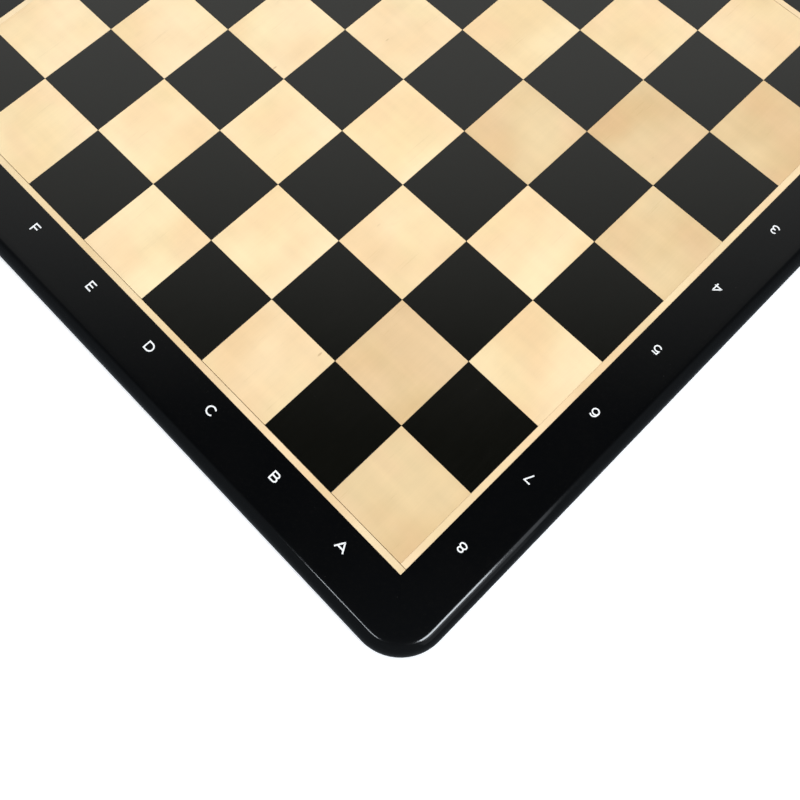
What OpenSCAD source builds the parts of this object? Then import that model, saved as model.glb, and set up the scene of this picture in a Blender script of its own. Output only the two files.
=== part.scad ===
// A chessboard: solid wood squares and a light fillet, inlaid in a black mitred frame with a
// full-round outer edge.
// The board stands on its feet at Z = 0, centred on the Z axis. White sits on the -Y side, so
// files a to h run along +X and ranks 1 to 8 along +Y. Lengths are in millimetres.

/* [Squares] */
// Side of one square
square_side = 55; // [45:1:60]
// Thickness of the squares and of the fillet
tile_thick = 4; // [3:0.5:5]
// Width of the light fillet round the playing field
fillet_w = 4.2; // [2:0.1:6]

/* [Frame] */
// Width of a rail, from the fillet to the outer edge
rail_w = 39; // [36:1:50]
// Thickness of the frame, which is twice the radius of its full-round edge
frame_thick = 16; // [15:1:20]
// Radius of the frame's corners, seen from above
corner_r = 30; // [24:1:34]

/* [Panels] */
// Thickness of the balancing panel under the core
backing_thick = 1; // [0.6:0.2:2]
// How far the core's tongue reaches into the rails
tongue_len = 6; // [4:0.5:8]
// Thickness of the core's tongue
tongue_thick = 4; // [3:0.5:5]

/* [Corner splines] */
// Length of a spline along the mitre
spline_len = 16; // [10:1:18]
// Width of a spline, half of it in each rail
spline_w = 20; // [12:1:24]
// Thickness of a spline
spline_thick = 3; // [2:0.5:4]

/* [Feet] */
// Diameter of a foot where it is glued on
foot_d = 18; // [12:1:20]
// Height of a foot
foot_thick = 3; // [2:0.5:5]
// Slope of a foot's side, as the difference between its two radii
foot_taper = 1; // [0.5:0.5:2]

/* [Hidden] */
$fn = 96;
RANKS = [1 : 8];
FILES = [1 : 8];
CORNERS = ["a1", "h1", "h8", "a8"];             // counterclockwise from -X -Y
SIDES = ["rank_1", "h_file", "rank_8", "a_file"];  // counterclockwise from -Y
LIGHT = 1;
DARK = 0;

field = 8 * square_side;             // the playing field
panel = field + 2 * fillet_w;        // the opening inside the frame
board = panel + 2 * rail_w;          // the whole board
edge_r = frame_thick / 2;            // the full-round edge
arc_centre = board / 2 - corner_r;   // X and Y of a corner's centre

z_frame = foot_thick;                        // underside of the frame
z_core = z_frame + backing_thick;            // underside of the core
z_tiles = z_frame + frame_thick - tile_thick; // underside of the squares
core_thick = z_tiles - z_core;
z_tongue = z_core + (core_thick - tongue_thick) / 2;

groove_gap = 0.5;   // room for glue past the tongue's edge
spline_wall = 2;    // wood left between a spline and the core's groove
through = 1;        // how far a cutting shape runs past the face it opens
// X and Y of a spline's centre
spline_at = board / 2 - (rail_w - tongue_len - groove_gap - spline_wall - spline_len / 2 * cos(45));
foot_margin = 3;    // flat wood left between a foot and the round edge
// X and Y of a foot's centre, on the mitre
foot_at = arc_centre + (corner_r - edge_r - foot_d / 2 - foot_margin) * cos(45);

// The outer part of the rail's section, from the full-round edge at X = 0 in as far as the corner radius
module edge_profile() {
    translate([edge_r, edge_r]) circle(r = edge_r);
    translate([edge_r, 0]) square([corner_r - edge_r, frame_thick]);
}

// The front rail before its joints are cut: the flat board, the round edge along it, and the
// half of each rounded corner up to the mitre
module rail_blank() {
    inner = board / 2 - rail_w;
    linear_extrude(frame_thick)
        polygon([[-arc_centre, -arc_centre], [arc_centre, -arc_centre], [inner, -inner], [-inner, -inner]]);
    translate([-arc_centre, -board / 2, 0])
        rotate([90, 0, 90])
            linear_extrude(2 * arc_centre) edge_profile();
    for (left = [0, 1])
        mirror([left, 0, 0])
            translate([arc_centre, -arc_centre, 0])
                rotate(-90)
                    rotate_extrude(angle = 45)
                        translate([corner_r, 0]) mirror([1, 0]) edge_profile();
}

// The loose tongue across the mitre at the front right corner
module spline_blank() {
    translate([spline_at, -spline_at, z_frame + frame_thick / 2])
        rotate(-45)
            cube([spline_len, spline_w, spline_thick], center = true);
}

// A rail, counted counterclockwise from the front one
module rail(index) {
    groove_len = tongue_len + groove_gap;
    color("#14141a")
        rotate(90 * index)
            difference() {
                translate([0, 0, z_frame]) rail_blank();
                translate([-board / 2, -panel / 2 - groove_len, z_tongue])
                    cube([board, groove_len + through, tongue_thick]);
                spline_blank();
                rotate(-90) spline_blank();
            }
}

// A fillet strip. The front and back ones run the full length, and the other two stop against them
module fillet(index) {
    length = index % 2 == 0 ? panel : field;
    color("#e2c08e")
        rotate(90 * index)
            translate([-length / 2, -panel / 2, z_tiles])
                cube([length, fillet_w, tile_thick]);
}

module spline(index) {
    color("#c79a62")
        rotate(90 * (index - 1))
            spline_blank();
}

// A rubber foot, wider where it is glued on
module foot(index) {
    color("#26262a")
        rotate(90 * index)
            translate([-foot_at, -foot_at, 0])
                cylinder(h = foot_thick, r1 = foot_d / 2 - foot_taper, r2 = foot_d / 2);
}

// The four squares of one tone in a rank. Square a1 is a dark one
module squares(rank, tone) {
    color(tone == LIGHT ? "#ecd4a8" : "#1a1a1e")
        for (file = FILES)
            if ((rank + file) % 2 == tone)
                translate([(file - 5) * square_side, (rank - 5) * square_side, z_tiles])
                    cube([square_side, square_side, tile_thick]);
}

// The panel that carries the squares, with the tongue round its edge
module core_panel() {
    color("#b08a5c") {
        translate([-panel / 2, -panel / 2, z_core])
            cube([panel, panel, core_thick]);
        translate([-panel / 2 - tongue_len, -panel / 2 - tongue_len, z_tongue])
            cube([panel + 2 * tongue_len, panel + 2 * tongue_len, tongue_thick]);
    }
}

module backing_panel() {
    color("#7a5536")
        translate([-panel / 2, -panel / 2, z_frame])
            cube([panel, panel, backing_thick]);
}

for (i = [0 : 3]) {
    rail(i);
    fillet(i);
    spline(i);
    foot(i);
}
for (rank = RANKS) {
    squares(rank, LIGHT);
    squares(rank, DARK);
}
core_panel();
backing_panel();
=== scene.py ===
import math

import bpy
import numpy as np
from mathutils import Matrix, Vector


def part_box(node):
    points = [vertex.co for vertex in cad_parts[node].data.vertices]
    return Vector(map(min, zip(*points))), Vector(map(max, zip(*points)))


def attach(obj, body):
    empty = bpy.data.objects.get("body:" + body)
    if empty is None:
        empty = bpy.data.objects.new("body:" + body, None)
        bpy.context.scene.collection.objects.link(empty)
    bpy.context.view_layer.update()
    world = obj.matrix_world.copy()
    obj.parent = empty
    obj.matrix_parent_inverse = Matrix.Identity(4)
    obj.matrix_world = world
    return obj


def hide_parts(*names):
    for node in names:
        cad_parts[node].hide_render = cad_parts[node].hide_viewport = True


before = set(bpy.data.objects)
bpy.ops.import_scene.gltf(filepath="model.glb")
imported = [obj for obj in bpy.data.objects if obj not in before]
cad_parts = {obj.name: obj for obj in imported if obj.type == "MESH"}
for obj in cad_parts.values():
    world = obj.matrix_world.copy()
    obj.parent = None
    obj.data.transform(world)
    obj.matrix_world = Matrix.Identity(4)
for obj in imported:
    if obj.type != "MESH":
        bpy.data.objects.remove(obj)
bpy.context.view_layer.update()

# ---------------------------------------------------------------- sizes, all taken from the frame
MM = 0.001

rail_low, rail_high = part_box("rail_rank_1")
tile_low, tile_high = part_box("light_squares_rank_8")

SQUARE = tile_high.y - tile_low.y
TOP = tile_high.z                    # the playing surface, flush with the frame
TILE_BASE = tile_low.z
FRAME_BASE = rail_low.z
HALF_BOARD = -rail_low.y             # centre to outer edge
HALF_PANEL = -rail_high.y            # centre to the inside of the frame
HALF_FIELD = 4 * SQUARE              # centre to the edge of the playing field
RAIL_W = HALF_BOARD - HALF_PANEL
EDGE_R = (TOP - FRAME_BASE) / 2      # the full-round edge
# The front rail's furthest point along X is where its round corner meets the mitre
CORNER_R = (HALF_BOARD - rail_high.x) / (1 - math.cos(math.pi / 4))

FILES = "abcdefgh"
RANKS = range(1, 9)
SIDES = ("rank_1", "h_file", "rank_8", "a_file")  # counterclockwise from the front
CORNERS = ("a1", "h1", "h8", "a8")

scene = bpy.context.scene
rng = np.random.default_rng(64)   # one stream for everything left to chance, piece after piece
WOOD_BLOCK = 7.0                  # side, in metres, of the block of wood that the pieces are cut from


def fresh_cut():
    """Where in the wood a piece is cut from, as a shift of its pattern."""
    return rng.random(3) * WOOD_BLOCK


def quarter_turns(points, turns):
    """The points turned about the Z axis by a number of quarter turns."""
    x, y, z = points.T
    for _ in range(turns):
        x, y = -y, x
    return np.stack([x, y, z], axis=1)


# ---------------------------------------------------------------- meshes
class Shell:
    """The points and faces of one piece, gathered one closed shell after another."""

    def __init__(self):
        self.points = []
        self.count = 0
        self.faces = []
        self.smooth = []
        self.marks = {}

    def add(self, points, faces, smooth, **marks):
        """Adds a closed shell. faces is a list of index arrays, each a table with one face to a row or one
        face alone, and smooth says for each array whether its faces are shaded smooth. marks are values,
        single or of three numbers, that every point of the shell gets as an attribute."""
        for group, soft in zip(faces, smooth):
            rows = np.atleast_2d(group) + self.count
            self.faces += rows.tolist()
            self.smooth += [soft] * len(rows)
        self.points.append(points)
        self.count += len(points)
        for name, value in marks.items():
            self.marks.setdefault(name, []).append(np.broadcast_to(value, (len(points), np.size(value))))

    def piece(self, name, finish, slot, *nodes):
        """Makes the mesh object, gives it its finish and lets it ride in place of the CAD nodes."""
        mesh = bpy.data.meshes.new(name)
        mesh.from_pydata(np.concatenate(self.points).tolist(), [], self.faces)
        mesh.polygons.foreach_set("use_smooth", self.smooth)
        for mark, values in self.marks.items():
            values = np.concatenate(values).astype(np.float32)
            kind, key = ("FLOAT", "value") if values.shape[1] == 1 else ("FLOAT_VECTOR", "vector")
            mesh.attributes.new(mark, kind, "POINT").data.foreach_set(key, values.ravel())
        mesh.validate()
        mesh.update()
        made = bpy.data.objects.new(name, mesh)
        scene.collection.objects.link(made)
        mesh.materials.append(finish)
        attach(made, "root")
        if nodes:
            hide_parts(*nodes)


def swept_faces(rows, columns, ring=False):
    """The faces of a closed section carried along a path, with a row of points for each place on it: quads
    between neighbouring points, and a flat face over each end unless the path is a ring. They point
    outwards where the section runs clockwise for someone who looks along the path."""
    row, column = np.meshgrid(np.arange(rows if ring else rows - 1), np.arange(columns), indexing="ij")
    ahead = (row + 1) % rows
    beside = (column + 1) % columns
    corners = [(row, column), (row, beside), (ahead, beside), (ahead, column)]
    sides = np.stack([(r * columns + c).ravel() for r, c in corners], axis=1)
    if ring:
        return [sides], [True]
    ends = [np.arange(columns)[::-1], (rows - 1) * columns + np.arange(columns)]
    return [sides, *ends], [True, False, False]


EASE_STEPS = 3             # facets in the quarter circle of an eased arris
LEAST_RADIUS = 0.02 * MM   # of a block's upright arrises, so that no two points of an outline meet


def round_rectangle(half_x, half_y, radius):
    """A rectangle with round corners, counterclockwise: each corner's centre plus the radius times the
    cosine and sine of an angle that runs through a quarter turn."""
    corner = np.repeat(np.arange(4), EASE_STEPS + 1)
    angle = (corner + np.tile(np.linspace(0, 1, EASE_STEPS + 1), 4)) * math.pi / 2
    side_x = np.where((corner == 0) | (corner == 3), 1.0, -1.0)
    side_y = np.where(corner < 2, 1.0, -1.0)
    x = side_x * (half_x - radius) + radius * np.cos(angle)
    y = side_y * (half_y - radius) + radius * np.sin(angle)
    return x, y


def eased_block(low, high, ease, plan_radius):
    """A block with eased arrises: its outline, with corners of plan_radius, is carried up a profile whose
    inset follows a quarter circle of radius ease at the foot and again at the head."""
    turn = np.linspace(0, math.pi / 2, EASE_STEPS + 1)
    inset = ease * np.concatenate([1 - np.sin(turn), 1 - np.sin(turn[::-1])])
    height = np.concatenate([low[2] + ease * (1 - np.cos(turn)), high[2] - ease * (1 - np.cos(turn[::-1]))])
    centre = (np.array(low[:2]) + np.array(high[:2])) / 2
    half = (np.array(high[:2]) - np.array(low[:2])) / 2
    outlines = [round_rectangle(*(half - d), max(plan_radius - d, LEAST_RADIUS)) for d in inset]
    x, y = np.array(outlines).transpose(1, 0, 2)
    z = np.broadcast_to(height[:, None], x.shape)
    points = np.stack([x + centre[0], y + centre[1], z], axis=-1).reshape(-1, 3)
    return points, *swept_faces(*x.shape)


# ---------------------------------------------------------------- finishes
class Value:
    """A value on its way through a finish. Arithmetic on it adds Math nodes, and a plain number may
    stand on either side."""

    def __init__(self, nodes, socket):
        self.nodes = nodes
        self.socket = socket

    def calc(self, operation, *terms):
        """Any other operation of the Math node, on all its terms in order."""
        return self.nodes.node("ShaderNodeMath", {"operation": operation}, dict(enumerate(terms)))

    def __add__(self, other):
        return self.calc("ADD", self, other)

    def __sub__(self, other):
        return self.calc("SUBTRACT", self, other)

    def __rsub__(self, other):
        return self.calc("SUBTRACT", other, self)

    def __mul__(self, other):
        return self.calc("MULTIPLY", self, other)

    __radd__ = __add__
    __rmul__ = __mul__

    def swing(self, most):
        """A noise about a half as a change about nothing: the value less a half, times most."""
        return (self - 0.5) * most

    def over(self, low, high):
        """0 below low, 1 above high and smooth between; the other way round where low is above high."""
        settings = {"interpolation_type": "SMOOTHSTEP"}
        if low < high:
            return self.nodes.node("ShaderNodeMapRange", settings, {0: self, 1: low, 2: high})
        return 1 - self.nodes.node("ShaderNodeMapRange", settings, {0: self, 1: high, 2: low})


class Nodes:
    """A node tree and the few calls that build it."""

    def __init__(self, tree):
        self.tree = tree

    def node(self, kind, settings=None, inputs=None, output=0):
        """A node of that type, with its settings and then its sockets, given values or links."""
        made = self.tree.nodes.new(kind)
        for key, value in (settings or {}).items():
            setattr(made, key, value)
        for key, value in (inputs or {}).items():
            self.feed(made.inputs[key], value)
        return Value(self, made.outputs[output])

    def feed(self, socket, value):
        if isinstance(value, Value):
            self.tree.links.new(value.socket, socket)
        else:
            socket.default_value = value


class Finish(Nodes):
    """A node material. constants go straight onto the shader's sockets, with _ for a space in a socket's
    name, and node() adds everything else."""

    def __init__(self, name, **constants):
        self.material = bpy.data.materials.new(name)
        self.material.use_nodes = True
        super().__init__(self.material.node_tree)
        self.shader = self.tree.nodes["Principled BSDF"]
        for socket, value in constants.items():
            self.shader.inputs[socket.replace("_", " ")].default_value = value
        self.place = self.node("ShaderNodeTexCoord", output="Object")

    def mark(self, name, output="Fac"):
        """A piece's own attribute."""
        return self.node("ShaderNodeAttribute", {"attribute_name": name}, output=output)

    def vector(self, operation, *terms):
        """An operation of the Vector Math node, on all its terms in order."""
        return self.node("ShaderNodeVectorMath", {"operation": operation}, dict(enumerate(terms)))

    def stretched(self, across, along, *starts):
        """Object coordinates, moved by each of starts and then scaled, in features to the metre: across for
        X and Z, and along for Y."""
        place = self.place
        for start in starts:
            place = self.vector("ADD", place, start)
        return self.vector("MULTIPLY", place, (across, along, across))

    def noise(self, place, detail, roughness=0.5):
        inputs = {"Vector": place, "Scale": 1.0, "Detail": detail, "Roughness": roughness}
        return self.node("ShaderNodeTexNoise", None, inputs)

    def cells(self, place, output="Distance"):
        return self.node("ShaderNodeTexVoronoi", None, {"Vector": place, "Scale": 1.0}, output)

    def mixed(self, share, first, second, blend="MIX"):
        """A colour that goes from first to second as share goes from 0 to 1."""
        settings = {"data_type": "RGBA", "blend_type": blend}
        return self.node("ShaderNodeMix", settings, {0: share, 6: first, 7: second}, 2)

    def tinted(self, colour, tint):
        """The colour multiplied by the tint."""
        return self.mixed(1.0, colour, tint, "MULTIPLY")

    def bump(self, height, depth, strength):
        """The surface pushed in and out by height, where 1 stands for depth metres."""
        inputs = {"Height": height, "Distance": depth, "Strength": strength}
        return self.node("ShaderNodeBump", None, inputs, "Normal")

    def done(self, **links):
        """Feeds the sockets that vary over the surface, and hands the material over."""
        for socket, value in links.items():
            self.feed(self.shader.inputs[socket.replace("_", " ")], value)
        return self.material


def grey(level):
    return (level, level, level, 1.0)


FLECK_CORE = 0.4     # share of a fleck's radius that has its full strength
CHOICE_EDGE = 0.002  # width of the step between a marked cell and a clear one


def flecks(finish, cut, across, along, size, share):
    """Short marks along Y, each in its own stretched cell, with a random share of the cells marked."""
    place = finish.stretched(across, along, cut)
    spot = finish.cells(place).over(size, FLECK_CORE * size)
    lot = finish.node("ShaderNodeTexWhiteNoise", {"noise_dimensions": "3D"},
                      {"Vector": finish.cells(place, "Position")})
    return spot * lot.over(1 - share, 1 - share + CHOICE_EDGE)


PALE_MAPLE = (0.863, 0.681, 0.426, 1.0)
TAN_MAPLE = (0.668, 0.485, 0.274, 1.0)
PALE_STRIP = (0.840, 0.676, 0.435, 1.0)
TAN_STRIP = (0.690, 0.492, 0.280, 1.0)
HONEY_CAST = (0.912, 0.845, 0.765, 1.0)
GREEN_CAST = (0.985, 1.000, 0.980, 1.0)
PINK_CAST = (1.000, 0.975, 0.975, 1.0)
BROWN_FLECK = (0.330, 0.180, 0.080, 1.0)
FLECKED_SHARE = 0.010   # of the maple's cells


def maple(name, tan, pale):
    """Pale maple under a thin satin lacquer. Each piece's own tone runs from tan to pale; wide soft clouds
    turn it honey-coloured and others cast it faintly green or pink, bands of curly figure lie across the
    grain, fine lines run with it, and smudges and small brown flecks lie along it."""
    f = Finish(name, Specular_IOR_Level=0.40)
    cut = f.mark("cut", "Vector")
    clouds = f.noise(f.stretched(20.0, 13.0, cut), detail=2.0, roughness=0.42)
    cast = f.noise(f.stretched(21.0, 30.0, cut, (0.7, 2.1, 3.4)), detail=1.0)
    veil = f.noise(f.stretched(90.0, 36.0, cut, (3.7, 1.1, 0.4)), detail=2.0)
    curl = f.noise(f.stretched(16.0, 150.0, cut, (1.3, 5.2, 2.6)), detail=1.0)
    lines = f.noise(f.stretched(900.0, 24.0, cut), detail=3.0, roughness=0.65)
    smudge = f.noise(f.stretched(120.0, 60.0, cut, (9.0, 4.0, 2.0)), detail=1.0)
    marks = flecks(f, cut, 300.0, 110.0, 0.26, FLECKED_SHARE)
    colour = f.mixed(f.mark("tone"), tan, pale)
    colour = f.mixed(clouds.over(0.30, 0.70), colour, f.tinted(colour, HONEY_CAST))
    colour = f.tinted(colour, f.mixed(cast.over(0.38, 0.62), GREEN_CAST, PINK_CAST))
    shade = 1.0 + veil.swing(0.13) + curl.swing(0.11) + lines.swing(0.07)
    colour = f.tinted(colour, f.node("ShaderNodeCombineColor", None, {0: shade, 1: shade, 2: shade}))
    colour = f.mixed(smudge.over(0.68, 0.84) * 0.30, colour, TAN_MAPLE)
    colour = f.mixed(marks * 0.50, colour, BROWN_FLECK)
    height = lines * 0.7 + veil * 0.3 - marks
    return f.done(Base_Color=colour, Roughness=0.30 + lines.swing(0.12) + veil.swing(0.06),
                  Normal=f.bump(height, 0.02 * MM, 0.4))


LINTED_SHARE = 0.015    # of the black wood's cells


def ebonised(name, stained, worn, roughness, specular, across, along):
    """Black-stained wood: stained in the body, a little browner along the raised grain where the stain
    is thin, open pores, and lint caught in the lacquer as rare pale specks. across and along are the
    grain's scale."""
    f = Finish(name, Specular_IOR_Level=specular)
    cut = f.mark("cut", "Vector")
    lines = f.noise(f.stretched(across, along, cut), detail=4.0, roughness=0.7)
    clouds = f.noise(f.stretched(30.0, 30.0, cut), detail=2.0)
    pores = f.cells(f.stretched(across * 0.8, along * 2.0, cut)).over(0.22, 0.05)
    lint = flecks(f, cut, 420.0, 300.0, 0.10, LINTED_SHARE)
    colour = f.mixed(lines.over(0.45, 0.8) * 0.6 + clouds.over(0.4, 0.8) * 0.25, stained, worn)
    colour = f.mixed(lint * 0.3, colour, grey(0.05))
    rough = roughness + lines.swing(0.06) + clouds.swing(0.04) + pores * 0.05
    height = lines * 0.6 - pores * 0.5 + lint * 0.4
    return f.done(Base_Color=colour, Roughness=rough, Normal=f.bump(height, 0.006 * MM, 0.3))


def print_white():
    """Screen-printed white enamel: a soft mottle where the mesh laid it down thin."""
    f = Finish("print_white", Specular_IOR_Level=0.4)
    mottle = f.noise(f.stretched(2500.0, 2500.0), detail=2.0)
    colour = f.mixed(mottle.over(0.3, 0.8) * 0.25, grey(0.82), (0.66, 0.67, 0.69, 1.0))
    return f.done(Base_Color=colour, Roughness=0.42 + mottle.swing(0.2),
                  Normal=f.bump(mottle, 0.01 * MM, 0.4))


def backing_veneer():
    """Stained balancing veneer: long open grain along X with pores and soft figure."""
    f = Finish("backing_veneer", Specular_IOR_Level=0.35)
    figure = f.noise(f.stretched(9.0, 60.0), detail=4.0, roughness=0.6)
    lines = f.noise(f.stretched(30.0, 1100.0), detail=3.0, roughness=0.7)
    pores = f.cells(f.stretched(110.0, 1400.0)).over(0.20, 0.06)
    colour = f.mixed(figure.over(0.3, 0.75), (0.150, 0.072, 0.034, 1.0), (0.300, 0.165, 0.085, 1.0))
    colour = f.mixed(lines.over(0.42, 0.75) * 0.45, colour, (0.110, 0.050, 0.025, 1.0))
    colour = f.mixed(pores * 0.6, colour, (0.045, 0.022, 0.012, 1.0))
    height = lines * 0.5 - pores
    return f.done(Base_Color=colour, Roughness=0.55 + figure.swing(0.2),
                  Normal=f.bump(height, 0.05 * MM, 0.5))


def fibreboard():
    """Raw fibreboard: short fibres in every direction."""
    f = Finish("core_fibreboard", Specular_IOR_Level=0.2)
    fibres = f.noise(f.stretched(700.0, 700.0), detail=4.0, roughness=0.75)
    clouds = f.noise(f.stretched(60.0, 60.0), detail=2.0)
    colour = f.mixed(fibres * 0.7 + clouds * 0.3, (0.330, 0.215, 0.115, 1.0), (0.610, 0.440, 0.265, 1.0))
    return f.done(Base_Color=colour, Roughness=0.85 + fibres.swing(0.2),
                  Normal=f.bump(fibres, 0.1 * MM, 0.5))


PLY = 0.5 * MM   # thickness of one ply of the splines


def birch_ply():
    """Birch plywood, cut across: plies in turn light and dark through the thickness."""
    f = Finish("spline_birch", Specular_IOR_Level=0.25)
    height = f.node("ShaderNodeSeparateXYZ", None, {0: f.place}, "Z")
    turn = height * (math.pi / PLY)
    plies = turn.calc("SINE", turn).over(-0.2, 0.2)
    lines = f.noise(f.stretched(900.0, 60.0), detail=3.0)
    colour = f.mixed(plies, (0.480, 0.320, 0.170, 1.0), (0.700, 0.540, 0.340, 1.0))
    colour = f.mixed(lines.over(0.4, 0.8) * 0.4, colour, (0.420, 0.270, 0.140, 1.0))
    return f.done(Base_Color=colour, Roughness=0.7 + lines.swing(0.2),
                  Normal=f.bump(lines, 0.05 * MM, 0.4))


def foot_rubber():
    """Moulded black rubber with a fine spark-eroded texture and a little dust."""
    f = Finish("foot_rubber", Specular_IOR_Level=0.3)
    pits = f.noise(f.stretched(3000.0, 3000.0), detail=2.0)
    dust = f.noise(f.stretched(180.0, 180.0), detail=3.0).over(0.55, 0.8)
    colour = f.mixed(dust * 0.35, (0.016, 0.016, 0.017, 1.0), (0.075, 0.070, 0.065, 1.0))
    return f.done(Base_Color=colour, Roughness=0.68 + pits.swing(0.25) + dust * 0.1,
                  Normal=f.bump(pits, 0.04 * MM, 0.5))


MAPLE_SQUARE = maple("maple_square", TAN_MAPLE, PALE_MAPLE)
MAPLE_FILLET = maple("maple_fillet", TAN_STRIP, PALE_STRIP)
BLACK_SQUARE = ebonised("ebonised_square", (0.0017, 0.0016, 0.0006, 1.0), (0.0038, 0.0032, 0.0018, 1.0),
                        roughness=0.17, specular=0.45, across=1100.0, along=30.0)
BLACK_FRAME = ebonised("ebonised_frame", (0.0012, 0.0013, 0.0015, 1.0), (0.0026, 0.0024, 0.0023, 1.0),
                       roughness=0.10, specular=0.36, across=420.0, along=420.0)

# ---------------------------------------------------------------- squares
SEAM = 0.05 * MM         # the narrowest gap between neighbouring squares
SEAM_SPREAD = 0.6        # how much of a seam's half width is left to chance, as a share of SEAM
TOP_DROP = 0.02 * MM     # the furthest that a square's top lies below the frame's
SQUARE_EASE = 0.12 * MM  # sanding takes the squares' arrises down this far
SQUARE_CORNER = 0.30 * MM
LEAST_TONE = 0.66
TONE_SPREAD = 0.28
# From 0, tan, to 1, pale: the maple squares whose tone is given and not left to chance
PICKED_TONES = {"a8": 0.07, "b7": 0.00, "c8": 0.62, "a6": 0.70, "b5": 0.92, "a4": 0.20, "g8": 0.90,
                "f7": 1.00, "e6": 1.00, "d5": 1.00, "c4": 0.18, "b3": 0.00, "a2": 0.05}


def squares(rank, tone_name, first_file, finish, slot):
    """Every second square of a rank, each with its own tone and its own cut from the wood. A black square
    has a tone too, which its finish doesn't read."""
    shell = Shell()
    for column in range(first_file, 8, 2):
        name = FILES[column] + str(rank)
        x = column * SQUARE - HALF_FIELD
        y = (rank - 1) * SQUARE - HALF_FIELD
        inset = SEAM * (0.5 + SEAM_SPREAD * rng.random())
        low = (x + inset, y + inset, TILE_BASE)
        high = (x + SQUARE - inset, y + SQUARE - inset, TOP - TOP_DROP * rng.random())
        tone = PICKED_TONES.get(name, LEAST_TONE + TONE_SPREAD * rng.random())
        shell.add(*eased_block(low, high, SQUARE_EASE, SQUARE_CORNER), tone=tone, cut=fresh_cut())
    node = f"{tone_name}_squares_rank_{rank}"
    shell.piece(node + "_wood", finish, slot, node)


for rank in RANKS:
    light_first = rank % 2          # a1 is dark
    squares(rank, "light", light_first, MAPLE_SQUARE, "square_light")
    squares(rank, "dark", 1 - light_first, BLACK_SQUARE, "square_dark")

# ---------------------------------------------------------------- fillet
# The seam towards the squares, which is tighter along the two shorter strips
FILLET_SEAMS = {"rank_1": 0.25 * MM, "h_file": 0.03 * MM, "rank_8": 0.25 * MM, "a_file": 0.03 * MM}
FILLET_END_GAP = 0.02 * MM
FILLET_RAIL_GAP = 0.03 * MM
FILLET_EASE = 0.10 * MM
LEAST_STRIP_TONE = 0.45
STRIP_TONE_SPREAD = 0.25


def fillet(turns, side):
    """A light strip, shaped as if it lay along the front rail and then turned into place."""
    turned = quarter_turns(np.array(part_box("fillet_" + side)), -turns % 4)
    low = turned.min(0) + (FILLET_END_GAP, FILLET_RAIL_GAP, 0)
    high = turned.max(0) - (FILLET_END_GAP, FILLET_SEAMS[side], 0)
    points, faces, smooth = eased_block(low, high, FILLET_EASE, FILLET_EASE)
    tone = LEAST_STRIP_TONE + STRIP_TONE_SPREAD * rng.random()
    shell = Shell()
    shell.add(quarter_turns(points, turns), faces, smooth, tone=tone, cut=fresh_cut())
    shell.piece("fillet_" + side + "_wood", MAPLE_FILLET, "fillet_light", "fillet_" + side)


for turns, side in enumerate(SIDES):
    fillet(turns, side)

# ---------------------------------------------------------------- rails
INNER_EASE = 0.12 * MM  # radius of the arrises beside the fillet
INNER_FLAT = 0.60 * MM  # the last row of points before the inner wall stands this far from it
FLAT_FROM = 11.0 * MM   # the sanded top runs softly into the round edge and is dead flat from here inward
MITRE_LAP = 0.02 * MM   # the rails' ends are sunk into each other this far, under one coat of lacquer
EDGE_STEPS = 48         # round the outer edge, from top to underside
CORNER_STEPS = 40       # round half a corner of the frame
RUN_STEPS = 12          # along the straight part of a rail


def rail_section():
    """The rail's section as (inset from the outer edge, height), counterclockwise from the flat top: a
    half circle of radius EDGE_R for the outer edge, the flat underside, and the inner wall with a quarter
    circle of radius INNER_EASE at its foot and at its head."""
    turn = np.linspace(math.pi / 2, 3 * math.pi / 2, EDGE_STEPS + 1)
    edge = np.stack([EDGE_R - EDGE_R * np.sin(turn - math.pi / 2), EDGE_R + EDGE_R * np.sin(turn)], axis=1)
    ease = np.linspace(0, math.pi / 2, EASE_STEPS + 1)
    foot_inset = RAIL_W - INNER_EASE * (1 - np.sin(ease))
    foot_height = INNER_EASE * (1 - np.cos(ease))
    foot = np.stack([foot_inset, foot_height], axis=1)
    head = np.stack([foot_inset, 2 * EDGE_R - foot_height], axis=1)[::-1]
    near_wall = RAIL_W - INNER_FLAT
    under = [(FLAT_FROM, 0.0), (near_wall, 0.0)]
    over = [(near_wall, 2 * EDGE_R), (FLAT_FROM, 2 * EDGE_R)]
    return np.concatenate([edge, under, foot, head, over])


def rail_path(inset):
    """X and Y of a line along the front rail, inset from its outer edge, from mitre to mitre and MITRE_LAP
    past each. As far in as FLAT_FROM it is straight with an arc about the corner's centre at each end.
    Further in it is straight all the way, with its points in the same proportions."""
    centre = HALF_BOARD - CORNER_R
    radius = CORNER_R - min(inset, FLAT_FROM)
    turn = np.linspace(-math.pi / 4, 0, CORNER_STEPS + 1)
    turn[0] -= MITRE_LAP / radius
    turn = np.insert(turn, 1, -math.pi / 4)
    arc_x = -centre + radius * np.sin(turn)
    arc_y = -centre - radius * np.cos(turn)
    run_x = np.linspace(-centre, centre, RUN_STEPS + 1)[1:-1]
    x = np.concatenate([arc_x, run_x, -arc_x[::-1]])
    if inset <= FLAT_FROM:
        return x, np.concatenate([arc_y, np.full(len(run_x), arc_y[-1]), arc_y[::-1]])
    y = np.full(len(x), inset - HALF_BOARD)
    return x * (y[0] - MITRE_LAP) / x[0], y


def rail(turns, side):
    """A rail: each point of its section follows its own line along the front edge, from mitre to mitre, and
    the whole is turned into place."""
    section = rail_section()
    x, y = np.array([rail_path(inset) for inset, _ in section]).transpose(1, 2, 0)
    z = FRAME_BASE + np.broadcast_to(section[:, 1], x.shape)
    points = np.stack([x, y, z], axis=-1).reshape(-1, 3)
    shell = Shell()
    shell.add(quarter_turns(points, turns), *swept_faces(*x.shape), cut=fresh_cut())
    shell.piece("rail_" + side + "_wood", BLACK_FRAME, "frame_black", "rail_" + side)


for turns, side in enumerate(SIDES):
    rail(turns, side)

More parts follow.
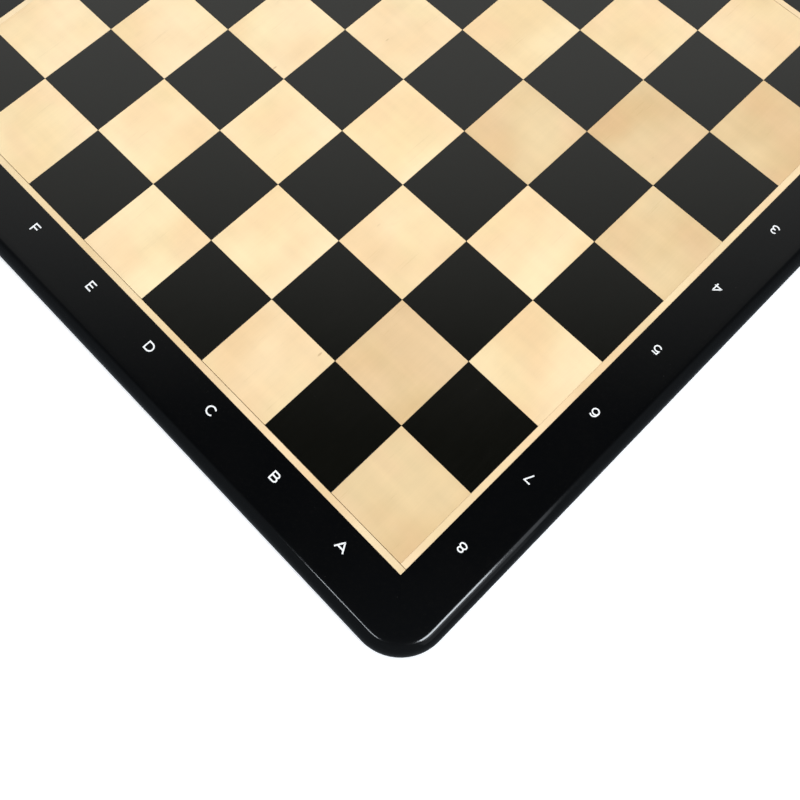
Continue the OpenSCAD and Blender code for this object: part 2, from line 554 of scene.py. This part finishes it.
# ---------------------------------------------------------------- printed characters
CAP = 6.1 * MM            # height of a character
LETTER_LINE = 0.90 * MM   # width of a letter's stroke
FIGURE_LINE = 0.80 * MM
LETTER_OUT = 12.0 * MM    # middle of a letter, out from the inside of the frame
FIGURE_OUT = 13.1 * MM
PRINT_SUNK = 0.02 * MM    # how far the enamel reaches into the lacquer
PRINT_RISE = 0.05 * MM    # and stands proud of it
PRINT_LAYER = 0.004 * MM  # a character's second stroke stands this much prouder than its first
SAME_POINT = 1e-4         # points of a stroke closer than this, in cap heights, are one
PRINTED = {"rank_1": "ABCDEFGH", "h_file": "12345678", "rank_8": "HGFEDCBA", "a_file": "87654321"}
# How far each character stands from the middle of its square, in mm: a letter to its own right, a figure
# towards its own top
DRIFT = {"A": -1.8, "B": -1.1, "C": -0.5, "D": -0.4, "E": -0.1, "F": 0.3, "G": 0.6, "H": 1.0,
         "8": -2.4, "7": -1.8, "6": -1.3, "5": -0.9, "4": -1.2, "3": -1.7, "2": -1.9, "1": -2.1}


def arc(x, y, across, up, start, end, steps=20):
    """An elliptic arc: its centre plus across times the cosine and up times the sine of an angle that runs
    from start to end, in degrees."""
    turn = np.radians(np.linspace(start, end, steps + 1))
    return np.stack([x + across * np.cos(turn), y + up * np.sin(turn)], axis=1)


def stroke(*legs):
    """The centre line of one stroke: points and arcs end to end, with repeated points left out."""
    line = np.concatenate([np.atleast_2d(leg) for leg in legs])
    kept = np.linalg.norm(np.diff(line, axis=0), axis=1) > SAME_POINT
    return line[np.concatenate([[True], kept])]


# Centre lines in cap heights, from the middle of the character
CHARACTERS = {
    "A": [stroke((-0.53, -0.44), (-0.01, 0.43), (0.01, 0.43), (0.53, -0.44)),
          stroke((-0.34, -0.17), (0.34, -0.17))],
    "B": [stroke((-0.36, 0.02), (-0.36, 0.42), (0.08, 0.42), arc(0.08, 0.22, 0.25, 0.20, 90, -90),
                 (-0.36, 0.02)),
          stroke((-0.36, 0.02), (0.10, 0.02), arc(0.10, -0.20, 0.28, 0.22, 90, -90), (-0.36, -0.42),
                 (-0.36, 0.02))],
    "C": [stroke(arc(0.02, 0.0, 0.47, 0.44, 42, 318, 36))],
    "D": [stroke((-0.40, -0.42), (-0.40, 0.42), (0.0, 0.42), arc(0.0, 0.0, 0.43, 0.42, 90, -90, 28),
                 (-0.40, -0.42))],
    "E": [stroke((0.36, 0.42), (-0.32, 0.42), (-0.32, -0.42), (0.36, -0.42)),
          stroke((-0.25, 0.01), (0.30, 0.01))],
    "F": [stroke((0.38, 0.42), (-0.32, 0.42), (-0.32, -0.48)), stroke((-0.25, 0.0), (0.32, 0.0))],
    "G": [stroke(arc(0.0, 0.0, 0.44, 0.44, 42, 360, 40), (0.05, 0.0))],
    "H": [stroke((-0.37, -0.48), (-0.37, 0.48)), stroke((0.37, -0.48), (0.37, 0.48)),
          stroke((-0.30, 0.0), (0.30, 0.0))],
    "1": [stroke((-0.18, 0.26), (0.06, 0.42), (0.06, -0.48))],
    "2": [stroke(arc(0.0, 0.15, 0.31, 0.27, 165, -38), (-0.29, -0.42), (0.36, -0.42))],
    "3": [stroke(arc(0.0, 0.21, 0.28, 0.21, 160, -90), (-0.06, 0.0)),
          stroke((-0.06, 0.01), (0.0, 0.01), arc(0.0, -0.20, 0.34, 0.22, 90, -165))],
    "4": [stroke((0.40, -0.18), (-0.38, -0.18), (-0.38, -0.16), (0.20, 0.41), (0.23, 0.41), (0.23, -0.11)),
          stroke((0.23, -0.11), (0.23, -0.48))],
    "5": [stroke((0.31, 0.42), (-0.25, 0.42), (-0.28, 0.06), arc(0.0, -0.13, 0.34, 0.29, 130, -150))],
    "6": [stroke(arc(0.0, -0.13, 0.34, 0.30, 0, 360, 32)),
          stroke(arc(0.06, -0.06, 0.40, 0.49, 190, 52))],
    "7": [stroke((-0.34, 0.42), (0.33, 0.42), (-0.10, -0.48))],
    "8": [stroke(arc(0.0, 0.22, 0.27, 0.20, 0, 360, 28)), stroke(arc(0.0, -0.20, 0.34, 0.23, 0, 360, 32))],
}


def ribbon(line, width, low, high):
    """A flat ribbon along a centre line, from the height low to high: at each point half the width is laid
    off to both sides, along the mitre of the two legs that meet there. A line that ends where it starts
    makes a ring."""
    ring = np.allclose(line[0], line[-1])
    legs = np.diff(line, axis=0)
    legs /= np.linalg.norm(legs, axis=1)[:, None]
    before = np.concatenate([legs[-1:] if ring else legs[:1], legs])
    after = np.concatenate([legs, legs[:1] if ring else legs[-1:]])
    left = (before + after)[:, ::-1] * (-1, 1) / (1 + (before * after).sum(1))[:, None]
    edges = [(left, low), (left, high), (-left, high), (-left, low)]
    section = [np.column_stack([line + side * width / 2, np.full(len(line), z)]) for side, z in edges]
    points = np.stack(section, axis=1)
    if ring:
        points = points[:-1]
    faces, _ = swept_faces(*points.shape[:2], ring)
    return points.reshape(-1, 3), faces, [False] * len(faces)


def printed(turns, side):
    """The eight characters on one rail. A letter stands upright for a player at that edge, and a figure is
    turned a quarter counterclockwise from that. Where strokes of a character overlap, their tops are a hair
    apart."""
    shell = Shell()
    for place, character in enumerate(PRINTED[side]):
        middle = (place + 0.5) * SQUARE - HALF_FIELD
        drift = DRIFT[character] * MM
        for layer, line in enumerate(CHARACTERS[character]):
            if character.isdigit():
                line = line[:, ::-1] * (-CAP, CAP) + (middle - drift, -HALF_PANEL - FIGURE_OUT)
                width = FIGURE_LINE
            else:
                line = line * CAP + (middle + drift, -HALF_PANEL - LETTER_OUT)
                width = LETTER_LINE
            top = TOP + PRINT_RISE + PRINT_LAYER * layer
            points, faces, smooth = ribbon(line, width, TOP - PRINT_SUNK, top)
            shell.add(quarter_turns(points, turns), faces, smooth)
    shell.piece("print_" + side, PRINT, "coordinate_white")


PRINT = print_white()
for turns, side in enumerate(SIDES):
    printed(turns, side)

# ---------------------------------------------------------------- feet
FOOT_TAPER = 1.0 * MM    # the tread's radius is this much smaller than the top's
FOOT_ROUND = 0.5 * MM    # radius of the round lip between side and tread
LIP_FROM = 20            # degrees below level at which the side runs into the lip
FOOT_EASE = 0.2 * MM     # broken edge at the top and at the dimple's rim
DIMPLE_R = 2.6 * MM
DIMPLE_DEEP = 0.7 * MM
LIP_POINTS = 8
DIMPLE_POINTS = 9
FOOT_STEPS = 72


def foot(corner, finish):
    """A moulded foot, its profile turned about its own axis: from the middle of the dimple, a half ellipse
    where the rubber was gated, over the flat tread and the round lip up the sloping side to the board."""
    low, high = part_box("foot_" + corner)
    top_r = (high.x - low.x) / 2
    tread_r = top_r - FOOT_TAPER
    lip = np.radians(np.linspace(LIP_FROM, 90, LIP_POINTS))
    bowl = np.linspace(0, 1, DIMPLE_POINTS)
    lip_r = tread_r - FOOT_ROUND + FOOT_ROUND * np.cos(lip)
    lip_z = FOOT_ROUND - FOOT_ROUND * np.sin(lip)
    bowl_r = DIMPLE_R * (1 - bowl)
    bowl_z = DIMPLE_DEEP * (1 - (1 - bowl) ** 2) ** 0.5
    radius = np.concatenate([[top_r - FOOT_EASE, top_r], lip_r, [DIMPLE_R + FOOT_EASE], bowl_r[:-1]])[::-1]
    height = np.concatenate([[high.z, high.z - FOOT_EASE], lip_z, [0.0], bowl_z[:-1]])[::-1]
    turn = np.linspace(0, 2 * math.pi, FOOT_STEPS, endpoint=False)
    x = (low.x + high.x) / 2 + radius[:, None] * np.cos(turn)
    y = (low.y + high.y) / 2 + radius[:, None] * np.sin(turn)
    z = np.broadcast_to(height[:, None], x.shape)
    points = np.stack([x, y, z], axis=-1).reshape(-1, 3)
    shell = Shell()
    shell.add(points, *swept_faces(*x.shape))
    shell.piece("foot_" + corner + "_rubber", finish, "foot_rubber", "foot_" + corner)


RUBBER = foot_rubber()
for corner in CORNERS:
    foot(corner, RUBBER)

# ---------------------------------------------------------------- the nodes that keep their CAD shape
def finish_node(name, material):
    """Gives a node that isn't replaced its own wood."""
    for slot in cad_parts[name].material_slots:
        slot.material = material


finish_node("core_panel", fibreboard())
finish_node("backing_panel", backing_veneer())
BIRCH = birch_ply()
for corner in CORNERS:
    finish_node("spline_" + corner, BIRCH)

# ---------------------------------------------------------------- camera
CAMERA_OUT = (-0.711 * SQUARE, 0.658 * SQUARE, 8.560 * SQUARE)   # from the outer corner of square a8
CAMERA_HEADING = math.radians(-43.84)  # from +X, towards the far corner
CAMERA_TILT = math.radians(72.74)      # below the horizon
CAMERA_ROLL = math.radians(-0.85)
SENSOR = 36.0                          # width of the sensor and focal length, in mm
LENS = 38.65


def camera():
    """A camera half a metre above the a8 corner, which looks down along the board's diagonal."""
    data = bpy.data.cameras.new("camera")
    data.sensor_width = SENSOR
    data.lens = LENS
    made = bpy.data.objects.new("camera", data)
    forward = Vector((math.cos(CAMERA_HEADING) * math.cos(CAMERA_TILT),
                      math.sin(CAMERA_HEADING) * math.cos(CAMERA_TILT),
                      -math.sin(CAMERA_TILT)))
    roll = Matrix.Rotation(CAMERA_ROLL, 3, "Z").to_quaternion()
    made.location = Vector((-HALF_FIELD, HALF_FIELD, TOP)) + Vector(CAMERA_OUT)
    made.rotation_mode = "QUATERNION"
    made.rotation_quaternion = forward.to_track_quat("-Z", "Y") @ roll
    scene.collection.objects.link(made)
    scene.camera = made


camera()

# ---------------------------------------------------------------- floor, light
scene.view_settings.view_transform = "Standard"
scene.view_settings.look = "None"

FLOOR = 20.0   # half its side, in metres


def floor():
    """A pale paper floor that glows a little, so that the board's shadow stays faint. Polished surfaces
    don't mirror it."""
    paper = Finish("floor_paper", Roughness=0.9, Specular_IOR_Level=0.0, Base_Color=grey(0.86),
                   Emission_Color=grey(1.0), Emission_Strength=0.45)
    corners = [(-FLOOR, -FLOOR, 0), (FLOOR, -FLOOR, 0), (FLOOR, FLOOR, 0), (-FLOOR, FLOOR, 0)]
    mesh = bpy.data.meshes.new("floor")
    mesh.from_pydata(corners, [], [(0, 1, 2, 3)])
    mesh.materials.append(paper.material)
    made = bpy.data.objects.new("floor", mesh)
    made.visible_glossy = False
    scene.collection.objects.link(made)


floor()

LIGHT_DISTANCE = 2.5   # in metres


def softbox(name, slope_x, slope_y, size, radiance, colour, glossy=True):
    """A flat studio light that faces the frame's a8 corner. From that corner it stands slope_x times its
    height along X and slope_y times its height along Y. size is (its side along X, its other side)."""
    data = bpy.data.lights.new(name, "AREA")
    data.shape = "RECTANGLE"
    data.size, data.size_y = size
    data.energy = radiance * math.pi * size[0] * size[1]
    data.color = colour
    made = bpy.data.objects.new(name, data)
    way = Vector((slope_x, slope_y, 1.0)).normalized()
    made.location = Vector((-HALF_BOARD, HALF_BOARD, TOP)) + way * LIGHT_DISTANCE
    along_x = Vector((1.0, 0.0, 0.0))
    across = (along_x - way * along_x.dot(way)).normalized()
    made.rotation_mode = "QUATERNION"
    made.rotation_quaternion = Matrix((across, way.cross(across), way)).transposed().to_quaternion()
    made.visible_glossy = glossy
    scene.collection.objects.link(made)


COOL = (0.88, 0.94, 1.0)
WHITE = (1.0, 0.99, 0.97)
softbox("softbox_side", -0.500, -0.030, (0.50, 0.74), 23.0, COOL)
softbox("softbox_side_skirt", -0.62, -0.105, (1.15, 1.02), 1.6, COOL)
softbox("softbox_side_spill", -1.6, 0.0, (1.35, 1.25), 0.35, COOL)
softbox("softbox_end", 0.075, 0.345, (0.54, 0.13), 25.0, COOL)
softbox("softbox_overhead", 0.25, -0.25, (1.5, 1.5), 4.75, WHITE, glossy=False)

ROOM_DARK = 0.04               # radiance overhead
ROOM_LOW = 0.07                # what is added lower down
ROOM_PALE = 0.11               # what is added behind the a8 corner
WALL_BRIGHT = 1.02             # radiance of the wall behind the h1 corner
ROOM_TINT = (0.88, 1.0, 1.12)  # red, green and blue
WALL_TINT = (1.0, 1.0, 0.95)


def studio():
    """A bluish room that is dark overhead, lighter lower down and behind the a8 corner, and has a bright
    wall behind the h1 corner. The last two follow how far a direction leans from a8 towards h1."""
    world = bpy.data.worlds.new("studio")
    world.use_nodes = True
    scene.world = world
    room = Nodes(world.node_tree)
    direction = room.node("ShaderNodeTexCoord", output="Generated")
    half = math.sqrt(0.5)
    lean = room.node("ShaderNodeVectorMath", {"operation": "DOT_PRODUCT"},
                     {0: direction, 1: (half, -half, 0.0)}, "Value")
    height = room.node("ShaderNodeSeparateXYZ", None, {0: direction}, "Z")
    dim = ROOM_DARK + ROOM_LOW * height.over(0.94, 0.78) + ROOM_PALE * lean.over(0.16, -0.10)
    wall = WALL_BRIGHT * lean.over(0.24, 0.68)
    channels = {i: dim * ROOM_TINT[i] + wall * WALL_TINT[i] for i in range(3)}
    colour = room.node("ShaderNodeCombineColor", None, channels)
    room.feed(world.node_tree.nodes["Background"].inputs["Color"], colour)


studio()
